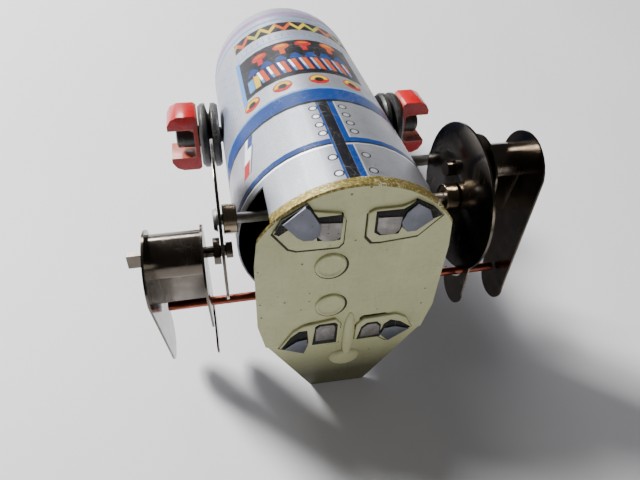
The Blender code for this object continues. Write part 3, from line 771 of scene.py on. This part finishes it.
@dataclass
class Pressing:
    """A flat shape that stands on the base plate's face, drawn by its outline."""

    name: str
    outline: Outline
    back: float
    front: float
    rounding: float = 0.12
    rounding_steps: int = 3
    joined: float = 0.002

    def build(self) -> Piece:
        """Draw the outline from a circle, draw it forward and round its front edge.

        Returns:
            The closed piece, with its place in its mesh.
        """
        deselect()
        bpy.ops.mesh.primitive_circle_add(vertices=len(self.outline), radius=MM, fill_type="NGON",
                                          location=place(self.back, 0.0), rotation=UPRIGHT)
        piece = settle(self.name)
        edit(piece)
        for index, (x, height) in enumerate(self.outline):
            vertex = piece.data.vertices[index]
            vertex.select = True
            shift = place(self.back + bent_back(height), height, x) - vertex.co
            bpy.ops.object.mode_set(mode="EDIT")
            bpy.ops.transform.translate(value=shift)
            bpy.ops.mesh.select_all(action="DESELECT")
            bpy.ops.object.mode_set(mode="OBJECT")
        bpy.ops.object.mode_set(mode="EDIT")
        bpy.ops.mesh.select_all(action="SELECT")
        bpy.ops.mesh.extrude_region_move(
            TRANSFORM_OT_translate={"value": (0.0, (self.front - self.back) * MM, 0.0)})
        if self.rounding:
            bpy.ops.mesh.bevel(offset=self.rounding * MM, segments=self.rounding_steps, affect="EDGES",
                               clamp_overlap=True)
        bpy.ops.mesh.select_all(action="SELECT")
        bpy.ops.mesh.remove_doubles(threshold=self.joined * MM)
        return close_up(piece)


@dataclass
class PressedRing:
    """A round ridge pressed into the base plate: a raised ring with a dished middle."""

    name: str
    x: float
    height: float
    radius: float = 3.7
    back: float = 0.1
    sides: int = 48
    crease: float = 60.0
    profile: Outline = ((0.08, 0.45), (0.20, 0.25), (0.30, 0.08), (0.30, -0.10), (0.30, -0.20), (0.45, -0.02))

    def build(self) -> Piece:
        """Raise a disc, inset it and dish its middle.

        Returns:
            The closed piece, with its place in its mesh.
        """
        deselect()
        middle = place(self.back, self.height, self.x)
        bpy.ops.mesh.primitive_circle_add(vertices=self.sides, radius=self.radius * MM, fill_type="NGON",
                                          location=middle, rotation=UPRIGHT)
        piece = settle(self.name)
        bpy.ops.object.mode_set(mode="EDIT")
        bpy.ops.mesh.select_all(action="SELECT")
        for inset, lift in self.profile:
            bpy.ops.mesh.extrude_region_move(TRANSFORM_OT_translate={"value": (0.0, -lift * MM, 0.0)})
            scale = self.shrink(inset)
            bpy.ops.transform.resize(value=(scale, 1.0, scale), center_override=place(0.0, self.height, self.x))
        return close_up(piece, self.crease)

    def shrink(self, inset: float) -> float:
        """The scale that takes one inset off the ring, counted from its own radius."""
        return 1.0 - inset / self.radius


@dataclass
class SoftBump:
    """A smooth rounded pressing, such as the plate's centre rib and the bump at its bend."""

    name: str
    x: float
    height: float
    half_width: float
    half_height: float
    lift: float
    sunk: float = 0.3
    segments: int = 40
    rings: int = 24
    crease: float = 60.0

    def build(self) -> Piece:
        """Squash a ball to the pressing's size and flatten the side within the plate.

        Returns:
            The closed piece, with its place in its mesh.
        """
        deselect()
        station = bent_back(self.height)
        bpy.ops.mesh.primitive_uv_sphere_add(segments=self.segments, ring_count=self.rings, radius=MM,
                                             location=place(station, self.height, self.x))
        piece = settle(self.name)
        bpy.ops.object.mode_set(mode="EDIT")
        bpy.ops.mesh.select_all(action="SELECT")
        bpy.ops.transform.resize(value=(self.half_width, self.lift, self.half_height),
                                 center_override=place(station, self.height, self.x))
        bpy.ops.mesh.bisect(plane_co=place(station + self.sunk, self.height, self.x), plane_no=(0.0, 1.0, 0.0),
                            use_fill=True, clear_outer=True)
        return close_up(piece, self.crease)


@dataclass
class PlateDetails:
    """Everything pressed into or folded over the base plate's face, with painted shadows laid round the pads and
    rings.
    """

    centre_shift: float = 0.7
    # front face of the painted shadows round the pressings
    shadow_front: float = -0.05
    pad_front: float = -0.70
    slot_front: float = -0.74
    tab_back: float = -0.60
    tab_front: float = -1.25
    motor_tab_front: float = -0.98
    sunk: float = 0.10
    slot_sunk: float = 0.05
    pad_rounding: float = 0.25
    # how far the painted shadow round a pad spreads and drops below it
    shadow_spread: float = 1.05
    shadow_drop: float = 0.70
    # the painted shadow round a ring: its shift to the right, its shift up and its radius
    ring_seam: Triple = (0.34, -0.42, 3.95)
    ring_shadow_sides: int = 24
    rings: tuple[tuple[str, float, float], ...] = (("ring_upper", -5.4, 4.2), ("ring_lower", -4.8, -9.0))
    bumps: tuple[tuple[str, float, float, float, float, float], ...] = (
        ("centre_rib", 0.7, -21.6, 1.55, 8.6, 1.0), ("foot_bump", 0.5, -31.6, 4.2, 3.2, 1.6))
    pads: dict[str, Outline] = field(default_factory=lambda: {
        "pad_upper_left": ((-17.4, 15.6), (-14.2, 11.0), (-12.4, 10.2), (-3.4, 10.0), (-2.4, 11.2), (-2.3, 17.4),
                           (-3.4, 19.2), (-10.0, 20.6), (-15.2, 18.6)),
        "pad_upper_right": ((2.5, 18.6), (2.6, 12.2), (4.0, 10.4), (6.0, 10.2), (14.3, 10.9), (19.3, 16.2),
                            (16.4, 18.4), (12.4, 20.6), (9.6, 19.4), (4.0, 19.4)),
        "pad_lower_left": ((-16.4, -22.9), (-13.0, -17.2), (-10.6, -15.4), (-2.4, -14.2), (-1.0, -16.4),
                           (-1.2, -24.0), (-8.6, -24.4), (-10.2, -26.4)),
        "pad_lower_right": ((3.0, -23.4), (3.2, -17.6), (5.0, -15.6), (13.4, -15.4), (16.2, -17.2),
                            (18.3, -21.2), (12.0, -26.2), (9.6, -23.8))})
    slots: dict[str, Outline] = field(default_factory=lambda: {
        "slot_upper_left": ((-17.2, 15.6), (-16.2, 15.0), (-13.9, 16.6), (-11.0, 13.9), (-8.4, 14.0), (-8.2, 12.5),
                            (-3.2, 12.2), (-2.9, 19.0), (-8.2, 18.9), (-10.3, 22.3), (-15.6, 18.8)),
        "slot_upper_right": ((4.0, 18.9), (4.1, 13.2), (5.4, 12.2), (9.6, 12.2), (10.4, 14.4), (13.9, 14.0),
                             (16.6, 15.2), (19.0, 16.2), (16.8, 18.4), (12.7, 20.8), (9.9, 18.9)),
        "slot_lower_left_tab": ((-16.0, -22.9), (-13.6, -18.8), (-11.6, -17.0), (-9.5, -17.0), (-9.1, -21.9),
                                (-10.2, -26.2)),
        "slot_lower_left": ((-7.5, -16.0), (-6.6, -15.3), (-2.6, -15.3), (-1.8, -16.2), (-1.8, -23.4), (-8.1, -23.2)),
        "slot_lower_right": ((3.5, -23.5), (4.4, -18.6), (5.8, -17.2), (8.4, -17.2), (9.6, -18.6), (9.9, -23.5)),
        "slot_lower_right_tab": ((9.6, -22.4), (10.4, -18.6), (12.0, -17.2), (14.8, -18.4), (18.0, -21.3),
                                 (12.0, -25.8))})
    tabs: dict[str, Outline] = field(default_factory=lambda: {
        "apron_tab_upper_left": ((-15.4, 18.1), (-12.6, 14.4), (-11.2, 13.3), (-9.2, 13.2), (-7.8, 14.4),
                                 (-7.6, 17.0), (-10.0, 21.4), (-10.9, 22.0)),
        "apron_tab_upper_right": ((9.8, 15.6), (10.2, 14.0), (11.4, 12.8), (13.4, 12.8), (16.8, 15.6), (15.6, 18.4),
                                  (12.7, 20.3), (10.6, 18.2)),
        "motor_tab_upper_left": ((-8.2, 17.5), (-8.1, 13.6), (-6.9, 12.4), (-4.3, 12.2), (-3.2, 13.2), (-3.0, 17.0)),
        "motor_tab_upper_right": ((4.5, 17.4), (4.6, 13.8), (5.6, 12.6), (8.6, 12.3), (9.7, 13.4), (9.9, 17.0)),
        "motor_tab_lower_left": ((-7.3, -16.6), (-6.3, -15.7), (-3.0, -15.9), (-2.4, -17.0), (-2.5, -21.6),
                                 (-7.4, -21.4)),
        "motor_tab_lower_right": ((4.3, -22.3), (4.7, -18.9), (5.9, -17.6), (8.2, -17.6), (9.2, -18.9), (9.5, -22.2)),
        "apron_tab_lower_left": ((-15.4, -22.9), (-12.2, -20.2), (-9.6, -19.9), (-9.3, -22.4), (-10.2, -26.0)),
        "apron_tab_lower_right": ((9.8, -22.2), (10.6, -19.8), (13.6, -19.6), (17.4, -21.4), (12.2, -25.6))})

    def grown(self, outline: Outline) -> Outline:
        """Widen a pad's outline a little, and more along its lower edge, for the painted shadow round it."""
        x_mid = sum(point[0] for point in outline) / len(outline)
        z_mid = sum(point[1] for point in outline) / len(outline)
        return tuple((x_mid + (x - x_mid) * self.shadow_spread,
                      z_mid + (height - z_mid) * self.shadow_spread - self.shadow_drop) for x, height in outline)

    def shifted(self, outline: Outline) -> Outline:
        """Centre an outline on the plate, in counter-clockwise order seen from outside."""
        area = sum(a[0] * b[1] - b[0] * a[1] for a, b in zip(outline, outline[1:] + outline[:1]))
        ordered = outline if area > 0.0 else outline[::-1]
        return tuple((x - self.centre_shift, height) for x, height in ordered)

    def build(self, finishes: "Finishes") -> None:
        """Build, dress and mount every detail of the plate's face."""
        for name, outline in self.pads.items():
            drawn = self.shifted(outline)
            pad = Pressing(name, drawn, self.sunk, self.pad_front, self.pad_rounding)
            mount(pad.build(), "frame", finishes.cream)
            # painted shadow round the pad, lower along its bottom edge
            self.lay_painted_shadow(name, self.grown(drawn), finishes)
        # painted shade: near-black patches over the slots stand in for the shade seen through them
        for name, outline in self.slots.items():
            slot = Pressing(name, self.shifted(outline), self.slot_sunk, self.slot_front, 0.0)
            mount(slot.build(), "frame", finishes.painted_slot_shade)
        for name, outline in self.tabs.items():
            apron = name.startswith("apron")
            front = self.tab_front if apron else self.motor_tab_front
            tab = Pressing(name, self.shifted(outline), self.tab_back, front)
            mount(tab.build(), "frame", finishes.apron_tab if apron else finishes.scored)
        # painted shadow round each ring, set off to the lower right
        right, up, radius = self.ring_seam
        for name, x, height in self.rings:
            mount(PressedRing(name, x, height).build(), "frame", finishes.cream)
            turns = [math.tau * step / self.ring_shadow_sides for step in range(self.ring_shadow_sides)]
            edge = tuple((x + right + radius * math.cos(turn), height + up + radius * math.sin(turn))
                         for turn in turns)
            self.lay_painted_shadow(name, edge, finishes)
        # the rib and the foot bump wear the cream with less painted shade, so they stand out lighter as if lit
        for bump in self.bumps:
            mount(SoftBump(*bump).build(), "frame", finishes.lightly_shaded_cream)

    def lay_painted_shadow(self, name: str, outline: Outline, finishes: "Finishes") -> None:
        """Lay a painted shadow round a pressing: a dark flat piece just in front of the plate."""
        edge = Pressing(name + "_seam", outline, self.sunk, self.shadow_front, 0.0)
        mount(edge.build(), "frame", finishes.painted_shade)


def mount(piece: Piece, body: str, material: Material) -> None:
    """Dress a finished piece and let it ride on its body."""
    piece.data.materials.clear()
    piece.data.materials.append(material)
    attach(piece, body)
    LOG.info("%s rides on %s", piece.name, body)


class Finishes:
    """Every material of the robot, by what it is used for."""

    def __init__(self, effects: Effects) -> None:
        """Mix all materials."""
        self.cream = WornCream().build(effects)
        # a copy with less of the foot's painted shade, so the pressed bumps look lit
        self.lightly_shaded_cream = WornCream("lightly_shaded_cream_lacquer", 0.35).build(effects)
        # painted shadow: the dark flat pieces round the pressings
        self.painted_shade = Plastic("painted_pressing_shadow", ink(58, 52, 36), ink(34, 28, 20), 0.7, 0.0).build(effects)
        # painted shade for the slots
        self.painted_slot_shade = Plastic("painted_slot_shade", ink(16, 15, 14), ink(30, 28, 24), 0.75, 0.0).build(effects)
        self.apron_tab = BrightMetal("apron_tab_tin", ink(118, 120, 128), ink(92, 94, 102), 0.38, 0.8).build(effects)
        self.scored = BrightMetal("scored_tin", ink(160, 157, 154), ink(84, 80, 76), 0.36, 1.6, 420.0).build(effects)
        self.by_slot = {
            "body_shell": LithoPrint().build(effects),
            "base_plate": self.cream,
            "nickel": BrightMetal("nickel_plate", ink(114, 107, 98), ink(74, 66, 57), 0.10, 0.4).build(effects),
            "copper": BrightMetal("copper_plate", ink(170, 96, 76), ink(112, 56, 44), 0.22, 0.5).build(effects),
            "brass": BrightMetal("warm_nickel", ink(164, 152, 132), ink(126, 110, 86), 0.12, 0.4).build(effects),
            "steel": BrightMetal("plain_steel", ink(168, 166, 162), ink(112, 108, 102), 0.28, 1.0).build(effects),
            "spring_steel": BrightMetal("spring_steel", ink(70, 80, 100), ink(44, 46, 58), 0.3, 0.4).build(effects),
            "black_plastic": Plastic("black_plastic", ink(22, 22, 23), ink(44, 43, 42), 0.34, 0.1).build(effects),
            "red_plastic": ClawRed().build(effects),
        }

    def dress(self, loaded: dict) -> None:
        """Give each CAD node the finish of its slot."""
        for part in loaded["record"]["subparts"]:
            node = loaded["nodes"][part["node"]]
            node.data.materials.clear()
            node.data.materials.append(self.by_slot[part["material_slot"]])
            LOG.info("%s wears %s", part["node"], part["material_slot"])


@dataclass(frozen=True)
class Lamp:
    """One square softbox: where it hangs, its width in metres, its power in watts and its colour."""

    name: str
    spot: Triple
    size: float
    power: float
    colour: Triple
    aim: Triple = (0.0, 0.0, 0.03)

    def build(self) -> None:
        """Hang the lamp and turn it to the robot."""
        deselect()
        bpy.ops.object.light_add(type="AREA", location=self.spot)
        lamp = bpy.context.object
        lamp.name = self.name
        lamp.data.shape = "SQUARE"
        lamp.data.size = self.size
        lamp.data.energy = self.power
        lamp.data.color = self.colour
        lamp.rotation_euler = (Vector(self.aim) - Vector(self.spot)).to_track_quat("-Z", "Y").to_euler()


@dataclass(frozen=True)
class Sky:
    """A dim room, brighter overhead and behind the dome, with a pale backdrop for the camera."""

    dim: Colour = ink(40, 36, 32)
    bright: Colour = (1.0, 1.0, 1.04, 1.0)
    backdrop: Colour = (1.60, 1.60, 1.62, 1.0)
    glow_aim: Triple = (-0.55, 0.76, 0.34)
    glow_power: float = 5.0
    glow_gain: float = 1.25
    rise_gain: float = 0.10
    base: float = 0.03
    strength: float = 0.50

    def blend(self, tree: Tree) -> Node:
        """Add one colour Mix node."""
        node = tree.nodes.new("ShaderNodeMix")
        node.data_type = "RGBA"
        return node

    def build(self) -> None:
        """Mix the world's background."""
        world = bpy.context.scene.world or bpy.data.worlds.new("Room")
        bpy.context.scene.world = world
        world.use_nodes = True
        tree = world.node_tree
        coordinates = tree.nodes.new("ShaderNodeTexCoord")
        split = tree.nodes.new("ShaderNodeSeparateXYZ")
        tree.links.new(coordinates.outputs["Generated"], split.inputs[0])
        across, depth, rise = (Field(tree, split.outputs[axis]) for axis in "XYZ")
        aim_x, aim_y, aim_z = self.glow_aim
        toward = (across * aim_x + depth * aim_y + rise * aim_z).math("MULTIPLY_ADD", 1.0, 0.0, clamp=True)
        lift = rise.math("MULTIPLY_ADD", self.rise_gain, self.base, clamp=True)
        glow = toward.math("POWER", self.glow_power) * self.glow_gain + lift
        room = self.blend(tree)
        room.inputs[MIX_UNDER].default_value = self.dim
        room.inputs[MIX_OVER].default_value = self.bright
        tree.links.new(glow.socket, room.inputs["Factor"])
        seen = self.blend(tree)
        seen.inputs[MIX_OVER].default_value = self.backdrop
        rays = tree.nodes.new("ShaderNodeLightPath")
        tree.links.new(rays.outputs["Is Camera Ray"], seen.inputs["Factor"])
        tree.links.new(room.outputs[MIX_RESULT], seen.inputs[MIX_UNDER])
        background = tree.nodes["Background"]
        tree.links.new(seen.outputs[MIX_RESULT], background.inputs["Color"])
        background.inputs["Strength"].default_value = self.strength


@dataclass(frozen=True)
class Table:
    """The pale table top, tilted so that it touches the plate's foot and the dome."""

    size: float = 2.6
    station: float = -2.1
    foot_height: float = -46.6
    foot_side: float = -7.5
    rise: float = 0.232
    roll: float = -0.06
    pale: Colour = ink(222, 222, 225)
    shade: Colour = ink(212, 212, 216)
    roughness: float = 0.62
    cloud_scale: float = 9.0
    cloud_detail: float = 8.0

    def build(self) -> None:
        """Lay the table top and give it a faint cloudy tone."""
        deselect()
        bpy.ops.mesh.primitive_plane_add(size=self.size, location=(0.0, 0.0, 0.0))
        table = bpy.context.object
        table.name = "table_top"
        normal = Vector((-self.roll, -self.rise, 1.0)).normalized()
        turn = Vector((0.0, 0.0, 1.0)).rotation_difference(normal).to_matrix().to_4x4()
        touch = place(self.station, self.foot_height, self.foot_side)
        table.data.transform(Matrix.Translation(touch) @ turn)
        paint = Paint("table_top").settings(Roughness=self.roughness)
        noise = paint.tree.nodes.new("ShaderNodeTexNoise")
        noise.inputs["Scale"].default_value = self.cloud_scale
        noise.inputs["Detail"].default_value = self.cloud_detail
        paint.tree.links.new(paint.coordinates, noise.inputs["Vector"])
        cloud = Field(paint.tree, noise.outputs[0]).between(0.3, 2.0, 0.5)
        paint.link(paint.mix(self.pale, self.shade, cloud), "Base Color")
        table.data.materials.append(paint.material)


@dataclass(frozen=True)
class Eye:
    """The camera, looking down at the base plate with the dome behind it."""

    spot: Triple = (-0.02772, -0.13783, 0.13110)
    forward: Triple = (0.18078, 0.72086, -0.66908)
    up: Triple = (0.10722, 0.66179, 0.74198)
    lens: float = 29.11
    sensor: float = 36.0
    near: float = 0.005

    def build(self) -> None:
        """Place the camera and make it the scene's own."""
        deselect()
        bpy.ops.object.camera_add(location=self.spot)
        camera = bpy.context.object
        forward = Vector(self.forward).normalized()
        up = Vector(self.up).normalized()
        right = forward.cross(up).normalized()
        up = right.cross(forward).normalized()
        turn = Matrix((right, up, -forward)).transposed().to_4x4()
        camera.matrix_world = Matrix.Translation(Vector(self.spot)) @ turn
        camera.data.lens = self.lens
        camera.data.sensor_width = self.sensor
        camera.data.clip_start = self.near
        bpy.context.scene.camera = camera


@dataclass(frozen=True)
class Studio:
    """The table, the sky, the lamps and the camera."""

    lamps: tuple[Lamp, ...] = (
        Lamp("window", (-0.76, 0.42, 0.98), 0.30, 54.0, (1.0, 0.995, 0.98)),
        Lamp("back_window", (-0.25, 1.0, 0.85), 0.30, 7.0, (0.97, 0.985, 1.0)),
        Lamp("room", (0.35, -1.1, 0.10), 0.40, 3.2, (1.0, 0.98, 0.95)))

    def build(self) -> None:
        """Set up the whole studio."""
        Table().build()
        Sky().build()
        for lamp in self.lamps:
            lamp.build()
        Eye().build()


def main() -> None:
    """Dress the frame, add the details and set up the studio."""
    logging.basicConfig(level=logging.INFO, format="%(message)s")
    effects = Effects()
    finishes = Finishes(effects)
    finishes.dress(frame)
    SmoothedParts().build(frame)
    PlateDetails().build(finishes)
    Studio().build()


if __name__ == "__main__":
    main()
